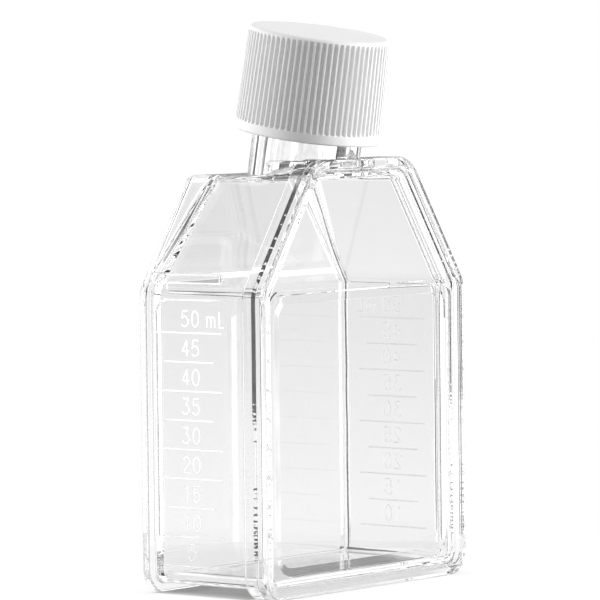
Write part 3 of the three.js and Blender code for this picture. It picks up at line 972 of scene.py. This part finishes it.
def tint_with_painted_shade(tree, place):
    """The plastic's tint with painted light and shade: lighter in the shoulders, painted grey shade
    lines in the far inside corners.
    """
    parts = add_node(tree, "ShaderNodeSeparateXYZ", inputs={0: place})
    height = parts.outputs["Z"]

    # The painted shade line follows the upright corner, which leans in with the shoulder and climbs
    # with the ramp
    lean = add_node(tree, "ShaderNodeMath", {"operation": "MULTIPLY_ADD"}, {
        0: beyond(tree, height, CORNER_LEAN_START, 0.5), 1: math.tan(SHOULDER_LEAN),
        2: -(HALF_WIDTH - CAVITY_INSET - CORNER_SHADE_INSET)})
    climb = add_node(tree, "ShaderNodeMath", {"operation": "MULTIPLY_ADD"}, {
        0: beyond(tree, height, RAMP_START, 1.5 * RAMP_KNEE), 1: RAMP_SLOPE,
        2: CORNER_SHADE_INSET - GROWTH_IN})
    corner = add_node(tree, "ShaderNodeCombineXYZ", inputs={"X": lean, "Y": climb})
    from_corner = distance_from_line(tree, place, corner, (1.0, 1.0, 0.0))
    off_corner_shade = add_node(tree, "ShaderNodeMapRange", inputs={
        "Value": from_corner, "From Min": CORNER_SHADE_EDGE[0], "From Max": CORNER_SHADE_EDGE[1]})

    # The corner along the foot carries a painted shade line that grows towards the growth wall
    from_foot = distance_from_line(tree, place, (
        CORNER_SHADE_INSET * 2 - HALF_WIDTH + CAVITY_INSET, 0.0, -CAVITY_INSET - CORNER_SHADE_INSET * 2),
        (1.0, 0.0, 1.0))
    taper = add_node(tree, "ShaderNodeMapRange", inputs={
        "Value": parts.outputs["Y"], "From Min": FOOT_SHADE_DEPTHS[0],
        "From Max": FOOT_SHADE_DEPTHS[1], "To Max": FOOT_SHADE_RADIUS})
    past_foot = add_node(tree, "ShaderNodeMath", {"operation": "SUBTRACT"}, {
        0: from_foot, 1: taper})
    off_foot_shade = add_node(tree, "ShaderNodeMapRange", inputs={
        "Value": past_foot, "From Min": -FOOT_SHADE_BLUR, "From Max": FOOT_SHADE_BLUR})

    # Painted light: the tint turns lighter in the shoulders, and the painted shade lines paler
    # there
    shoulder = add_node(tree, "ShaderNodeMapRange", inputs={
        "Value": height, "From Min": SHOULDER_PAINTED_LIGHT[0], "From Max": SHOULDER_PAINTED_LIGHT[1]})
    line = add_node(tree, "ShaderNodeMix", {"data_type": "RGBA"}, {
        0: shoulder, 6: linear("1E1E1E"), 7: linear("6A6A6A")})
    wall = add_node(tree, "ShaderNodeMix", {"data_type": "RGBA"}, {
        0: shoulder, 6: linear("F8F8F8"), 7: WHITE})
    # Painted shade: grey lines take the tint's place in the inside corners and along the foot
    off_shade_lines = add_node(tree, "ShaderNodeMath", {"operation": "MULTIPLY"}, {
        0: off_corner_shade, 1: off_foot_shade})
    tint = add_node(tree, "ShaderNodeMix", {"data_type": "RGBA"}, {
        0: off_shade_lines, 6: line.outputs[2], 7: wall.outputs[2]})
    return tint.outputs[2]


def clear_polystyrene():
    """Crystal polystyrene from a polished mould: clear as glass, with faint flow waves of 11 mm,
    and painted shade lines and painted lighter shoulders in its tint.
    """
    material, tree = material_tree("crystal_polystyrene_polished")
    place = in_millimetres(tree)
    flow = add_node(tree, "ShaderNodeTexNoise", inputs={
        "Vector": place, "Scale": 0.09, "Detail": 1.0, "Roughness": 0.4})
    wave = add_node(tree, "ShaderNodeBump", inputs={
        "Strength": 0.12, "Distance": 0.0004, "Height": flow})
    return surfaced(material, add_node(tree, "ShaderNodeBsdfPrincipled", inputs={
        "Base Color": tint_with_painted_shade(tree, place), "Roughness": 0.0, "IOR": POLYSTYRENE_IOR,
        "Transmission Weight": 1.0, "Normal": wave}))


def fused_joint():
    """Polystyrene welded through and through: the two mouldings are one, so nothing shows."""
    material, tree = material_tree("polystyrene_fused")
    return surfaced(material, add_node(tree, "ShaderNodeBsdfTransparent"))


def weld_seam():
    """Edge of the ultrasonic weld: trapped air shows as a broken dark line, the rest is fused.

    The blocks of air are about half a millimetre high.
    """
    material, tree = material_tree("polystyrene_weld_trapped_air")
    place = in_millimetres(tree)
    along = add_node(tree, "ShaderNodeVectorMath", {"operation": "MULTIPLY"}, {
        0: place, 1: (0.0, 0.35, 1.0)})
    blocks = add_node(tree, "ShaderNodeTexNoise", inputs={
        "Vector": along, "Scale": 2.1, "Detail": 1.0, "Roughness": 0.6})
    parts = add_node(tree, "ShaderNodeSeparateXYZ", inputs={0: place})
    # By the share of 75 mm of height: how much of the line holds air, and how dark it is
    share = add_node(tree, "ShaderNodeMapRange", inputs={
        "Value": parts.outputs["Z"], "From Max": 75.0})
    filled = set_stops(add_node(tree, "ShaderNodeValToRGB", inputs={"Fac": share}), (
        (0.0, 0.1), (0.12, 0.48), (0.26, 0.4), (0.34, 0.15), (0.42, 0.5), (0.5, 1.0), (0.68, 1.0),
        (0.69, 0.46), (0.77, 0.56), (0.86, 0.7), (0.97, 0.9)))
    density = set_stops(add_node(tree, "ShaderNodeValToRGB", inputs={"Fac": share}), (
        (0.66, 0.62), (0.71, 0.7), (0.9, 0.66), (0.94, 0.15)))
    gap = add_node(tree, "ShaderNodeMath", {"operation": "ADD"}, {0: blocks, 1: filled})
    shown = add_node(tree, "ShaderNodeMapRange", {"interpolation_type": "SMOOTHSTEP"}, {
        "Value": gap, "From Min": 0.96, "From Max": 1.02})
    air = add_node(tree, "ShaderNodeMath", {"operation": "MULTIPLY"}, {0: shown, 1: density})
    fused = add_node(tree, "ShaderNodeBsdfTransparent")
    dark = add_node(tree, "ShaderNodeBsdfPrincipled", inputs={
        "Base Color": linear("262627"), "Roughness": 0.4})
    mixed = add_node(tree, "ShaderNodeMixShader", inputs={0: air, 1: fused, 2: dark})
    return surfaced(material, mixed)


def etched_relief_with_painted_glow():
    """Strokes whose cavities were etched in the mould, so they scatter light and look white; a
    painted glow is added to their frost.
    """
    material, tree = material_tree("polystyrene_etched_relief_painted_glow")
    parts = add_node(tree, "ShaderNodeSeparateXYZ", inputs={0: in_millimetres(tree)})
    # The strokes turn frostier and whiter from 5 mm up to 46 mm
    white_by_height = add_node(tree, "ShaderNodeMapRange", inputs={
        "Value": parts.outputs["Z"], "From Min": 5.0, "From Max": 46.0,
        "To Min": 0.2, "To Max": 0.75})
    # Painted glow: the frost gives off light of its own, though it is no lamp
    frost_and_glow = add_node(tree, "ShaderNodeBsdfPrincipled", inputs={
        "Base Color": WHITE, "Roughness": 0.6, "Emission Color": WHITE, "Emission Strength": 0.5})
    gloss = add_node(tree, "ShaderNodeBsdfPrincipled", inputs={
        "Base Color": linear("F8F8F8"), "Roughness": 0.05, "IOR": POLYSTYRENE_IOR,
        "Transmission Weight": 1.0})
    mixed = add_node(tree, "ShaderNodeMixShader", inputs={0: white_by_height, 1: gloss, 2: frost_and_glow})
    return surfaced(material, mixed)


def polyethylene_skin(tree):
    """Fine grain of moulded polyethylene, 0.3 mm across, and the roughness that goes with it."""
    grain = add_node(tree, "ShaderNodeTexNoise", inputs={
        "Vector": in_millimetres(tree), "Scale": 3.5, "Detail": 3.0, "Roughness": 0.6})
    gloss = add_node(tree, "ShaderNodeMapRange", inputs={
        "Value": grain, "To Min": 0.36, "To Max": 0.46})
    return grain, gloss


def white_polyethylene():
    """High-density polyethylene, injection moulded: satin white that light enters a little way."""
    material, tree = material_tree("white_hdpe_satin")
    grain, gloss = polyethylene_skin(tree)
    skin = add_node(tree, "ShaderNodeBump", inputs={
        "Strength": 0.08, "Distance": 0.0001, "Height": grain})
    return surfaced(material, add_node(tree, "ShaderNodeBsdfPrincipled", inputs={
        "Base Color": linear("F4F4F3"), "Roughness": gloss, "IOR": POLYETHYLENE_IOR,
        "Subsurface Weight": 0.7, "Subsurface Radius": (1.0, 1.0, 1.0),
        "Subsurface Scale": 0.0009, "Normal": skin}))


def polyethylene_painted_glow():
    """The inside of the same cap, with a painted glow that stands in for the light soaking through
    its wall.
    """
    material, tree = material_tree("white_hdpe_painted_glow")
    gloss = polyethylene_skin(tree)[1]
    return surfaced(material, add_node(tree, "ShaderNodeBsdfPrincipled", inputs={
        "Base Color": linear("F9F9F8"), "Roughness": gloss, "IOR": POLYETHYLENE_IOR,
        "Emission Color": WHITE, "Emission Strength": 0.45}))


def liner_foam():
    """Expanded polyethylene liner: dull white with cells a quarter of a millimetre across."""
    material, tree = material_tree("expanded_pe_liner")
    cells = add_node(tree, "ShaderNodeTexVoronoi", inputs={
        "Vector": in_millimetres(tree), "Scale": 4.0})
    skin = add_node(tree, "ShaderNodeBump", inputs={
        "Strength": 0.3, "Distance": 0.0001, "Height": cells})
    return surfaced(material, add_node(tree, "ShaderNodeBsdfPrincipled", inputs={
        "Base Color": linear("ECECE8"), "Roughness": 0.75, "Normal": skin}))


# ---- dressing the part --------

clear_finishes = [clear_polystyrene(), fused_joint(), weld_seam(), etched_relief_with_painted_glow()]
hdpe = white_polyethylene()
foam = liner_foam()

body_looks = to_metres(shade(make_body()))
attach(body_looks, "flask")
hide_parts("flask_body")

plate_looks = to_metres(shade(make_plate()))
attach(plate_looks, "flask")
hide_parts("front_plate")

cap_looks = make_cap(hdpe)
# The faces inside the cap take the painted glow
cap_looks.data.materials.append(polyethylene_painted_glow())
for face in cap_looks.data.polygons:
    face.material_index = 1 if inside_cap(face.center) else 0
to_metres(shade(cap_looks))
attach(cap_looks, "cap")
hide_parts("screw_cap")

liner = frame["nodes"]["cap_liner"]
liner.data.materials.clear()
liner.data.materials.append(foam)


# ---- stage, light and camera --------

TABLE_RADIUS = 70.0
TABLE_SIDES = 96
CONTACT_REACH = 5.0  # the soft shadow at the foot is this wide
UNDER_SIDES = (2.6, 1.2)  # the shade under the body fades out this far in from its sides
UNDER_DEPTHS = (9.5, 11.5)  # and this far from the middle of its depth
LAMP_DISTANCE = 0.7
LAMP_AIM = Vector((0, 0, 0.05))


def seen_share(tree):
    """1 for what is seen directly, mirrored or through plastic, 0 for light on a dull surface."""
    light_path = add_node(tree, "ShaderNodeLightPath").outputs
    seen = add_node(tree, "ShaderNodeMath", {"operation": "MAXIMUM"}, {
        0: light_path["Is Camera Ray"], 1: light_path["Is Glossy Ray"]})
    seen = add_node(tree, "ShaderNodeMath", {"operation": "MAXIMUM"}, {
        0: seen, 1: light_path["Is Transmission Ray"]})
    return seen, light_path


def shade_under_body(tree):
    """The table's brightness where nothing touches it: dark under the body, white beside it."""
    place = add_node(tree, "ShaderNodeSeparateXYZ", inputs={0: in_millimetres(tree)})
    across = add_node(tree, "ShaderNodeMath", {"operation": "ABSOLUTE"}, {0: place.outputs["X"]})
    beside = add_node(tree, "ShaderNodeMapRange", inputs={
        "Value": across, "From Min": HALF_WIDTH - UNDER_SIDES[0],
        "From Max": HALF_WIDTH - UNDER_SIDES[1]})
    back = add_node(tree, "ShaderNodeMath", {"operation": "SUBTRACT"}, {
        0: place.outputs["Y"], 1: (FLANGE_BACK + BACK_FACE) / 2})
    off_middle = add_node(tree, "ShaderNodeMath", {"operation": "ABSOLUTE"}, {0: back})
    behind = add_node(tree, "ShaderNodeMapRange", inputs={
        "Value": off_middle, "From Min": UNDER_DEPTHS[0], "From Max": UNDER_DEPTHS[1]})
    clear_of_body = add_node(tree, "ShaderNodeMath", {"operation": "MAXIMUM"}, {
        0: beside, 1: behind})
    return add_node(tree, "ShaderNodeMapRange", {"interpolation_type": "SMOOTHSTEP"}, {
        "Value": clear_of_body, "To Min": 0.2, "To Max": 0.88})


def make_floor():
    """A small round white table top with a soft shadow at the foot and a faint reflection."""
    rim = [round_axis(TABLE_RADIUS, math.tau * i / TABLE_SIDES, 0) for i in range(TABLE_SIDES)]
    floor = to_metres(new_object("table", rim, one_face(TABLE_SIDES)))
    material, tree = material_tree("white_laminate_table")
    seen, light_path = seen_share(tree)
    shadow = add_node(tree, "ShaderNodeMapRange", inputs={
        "Value": light_path["Is Camera Ray"], "To Min": 0.75, "To Max": shade_under_body(tree)})
    near = add_node(tree, "ShaderNodeAmbientOcclusion", {"samples": 8}, {
        "Distance": CONTACT_REACH * MM})
    strength = add_node(tree, "ShaderNodeMapRange", inputs={
        "Value": near.outputs["AO"], "To Min": shadow, "To Max": 1.08})
    glow = add_node(tree, "ShaderNodeEmission", inputs={"Color": WHITE, "Strength": strength})
    polish = add_node(tree, "ShaderNodeBsdfGlossy", inputs={"Color": WHITE, "Roughness": 0.12})
    shown = add_node(tree, "ShaderNodeMixShader", inputs={0: 0.08, 1: glow, 2: polish})
    paint = add_node(tree, "ShaderNodeBsdfDiffuse", inputs={"Color": linear("D8D8D8")})
    surfaced(material, add_node(tree, "ShaderNodeMixShader", inputs={0: seen, 1: paint, 2: shown}))
    floor.data.materials.append(material)


def make_world():
    """A light tent: white walls with dark gaps, which the plastic's edges pick up as dark lines."""
    world = bpy.data.worlds.new("light_tent")
    world.use_nodes = True
    bpy.context.scene.world = world
    tree = world.node_tree
    tree.nodes.clear()
    seen, light_path = seen_share(tree)
    direction = add_node(tree, "ShaderNodeTexCoord").outputs["Generated"]
    parts = add_node(tree, "ShaderNodeSeparateXYZ", inputs={0: direction}).outputs

    # The walls repeat eight times round the part, and each repeat is its own mirror image
    half_repeat = math.pi / 8
    around = add_node(tree, "ShaderNodeMath", {"operation": "ARCTAN2"}, {
        0: parts["Y"], 1: parts["X"]})
    folded = add_node(tree, "ShaderNodeMath", {"operation": "PINGPONG"}, {
        0: around, 1: half_repeat})
    share = add_node(tree, "ShaderNodeMapRange", inputs={"Value": folded, "From Max": half_repeat})
    walls = set_stops(add_node(tree, "ShaderNodeValToRGB", inputs={"Fac": share}), (
        (0.098, 0.95), (0.111, 1.4), (0.164, 1.4), (0.182, 0.95), (0.364, 0.95), (0.378, 1.4),
        (0.738, 1.4), (0.756, 0.03)))

    # Bands by height, above the table and below it
    roof = set_stops(add_node(tree, "ShaderNodeValToRGB", inputs={"Fac": parts["Z"]}), (
        (0.125, 1.0), (0.14, 0.1), (0.19, 0.1), (0.22, 1.4), (0.55, 1.4), (0.8, 0.4)))
    low = add_node(tree, "ShaderNodeMapRange", inputs={
        "Value": parts["Z"], "From Min": -1.0, "From Max": 0.0})
    sweep = set_stops(add_node(tree, "ShaderNodeValToRGB", inputs={"Fac": low}), (
        (0.0, 0.8), (0.75, 0.92), (0.78, 1.5), (0.84, 1.5), (0.88, 1.08), (0.9, 1.08), (0.97, 0.86),
        (1.0, 0.95)))
    lit_walls = add_node(tree, "ShaderNodeMath", {"operation": "MULTIPLY"}, {0: walls, 1: sweep})
    tent = add_node(tree, "ShaderNodeMath", {"operation": "MULTIPLY"}, {0: lit_walls, 1: roof})

    # Light that has met many walls finds white, with dark slots away from the level
    level, level_band = -0.07, 0.08
    slots = set_stops(add_node(tree, "ShaderNodeValToRGB", inputs={"Fac": share}), (
        (0.164, 1.5), (0.182, 0.03), (0.364, 0.03), (0.378, 1.5)))
    near_level = add_node(tree, "ShaderNodeMath", {"operation": "COMPARE"}, {
        0: parts["Z"], 1: level, 2: level_band})
    deep = add_node(tree, "ShaderNodeMix", {"data_type": "FLOAT"}, {
        0: near_level, 2: slots, 3: 1.5})
    many_walls = add_node(tree, "ShaderNodeMapRange", inputs={
        "Value": light_path["Ray Depth"], "From Min": 6.0, "From Max": 9.0})
    evened = add_node(tree, "ShaderNodeMix", {"data_type": "FLOAT"}, {
        0: many_walls, 2: tent, 3: deep})

    # Faces mirror a dimmer tent, and the background itself is plain white
    mirrored = add_node(tree, "ShaderNodeMapRange", inputs={
        "Value": light_path["Is Reflection Ray"], "To Min": 1.04, "To Max": 0.35})
    inside = add_node(tree, "ShaderNodeMath", {"operation": "MULTIPLY"}, {0: evened, 1: mirrored})
    direct = add_node(tree, "ShaderNodeMix", {"data_type": "FLOAT"}, {
        0: light_path["Is Camera Ray"], 2: inside, 3: 1.0})
    ambient = add_node(tree, "ShaderNodeBackground", inputs={"Color": WHITE, "Strength": 0.43})
    backdrop = add_node(tree, "ShaderNodeBackground", inputs={"Color": WHITE, "Strength": direct})
    mixed = add_node(tree, "ShaderNodeMixShader", inputs={0: seen, 1: ambient, 2: backdrop})
    add_node(tree, "ShaderNodeOutputWorld", inputs={"Surface": mixed})


def softbox(name, azimuth, elevation, width, height, watts):
    """A rectangular lamp aimed at the part. Azimuth 0 stands in front of the plate."""
    lamp = bpy.data.lights.new(name, "AREA")
    lamp.shape = "RECTANGLE"
    lamp.size, lamp.size_y = width, height
    lamp.energy = watts
    stand = bpy.data.objects.new(name, lamp)
    bpy.context.scene.collection.objects.link(stand)
    a, e = math.radians(azimuth), math.radians(elevation)
    away = Vector((math.sin(a) * math.cos(e), -math.cos(a) * math.cos(e), math.sin(e)))
    stand.location = LAMP_AIM + away * LAMP_DISTANCE
    stand.rotation_euler = away.to_track_quat("Z", "Y").to_euler()
    stand.visible_camera = False
    stand.visible_glossy = False
    stand.visible_transmission = False


def make_camera():
    """A long lens looking slightly down on the flask's corner."""
    azimuth, pitch, roll = math.radians(-51.082), math.radians(3.111), -0.01132
    distance, aim_sideways, aim_height = 0.8095, -0.001642, 0.048873
    sideways = Vector((math.cos(azimuth), math.sin(azimuth), 0))
    aim = sideways * aim_sideways + Vector((0, 0, aim_height))
    forward = Vector((-math.sin(azimuth) * math.cos(pitch), math.cos(azimuth) * math.cos(pitch),
                      -math.sin(pitch)))
    camera = bpy.data.objects.new("camera", bpy.data.cameras.new("camera"))
    camera.data.lens = 283.03
    camera.data.sensor_width = 36
    camera.data.clip_start = 0.01
    camera.rotation_mode = "QUATERNION"
    camera.location = aim - forward * distance
    camera.rotation_quaternion = (forward.to_track_quat("-Z", "Y")
                                  @ Matrix.Rotation(roll, 3, "Z").to_quaternion())
    bpy.context.scene.collection.objects.link(camera)
    bpy.context.scene.camera = camera


make_floor()
make_world()
softbox("left_softbox", -145, 15, 0.35, 0.7, 6.0)
softbox("right_softbox", 35, 12, 0.35, 0.7, 7.9)
softbox("top_softbox", 130, 75, 0.5, 0.5, 0.2)
make_camera()

scene = bpy.context.scene
scene.view_settings.view_transform = "Standard"
scene.cycles.max_bounces = 40
scene.cycles.transmission_bounces = 24
scene.cycles.glossy_bounces = 32
scene.cycles.transparent_max_bounces = 24
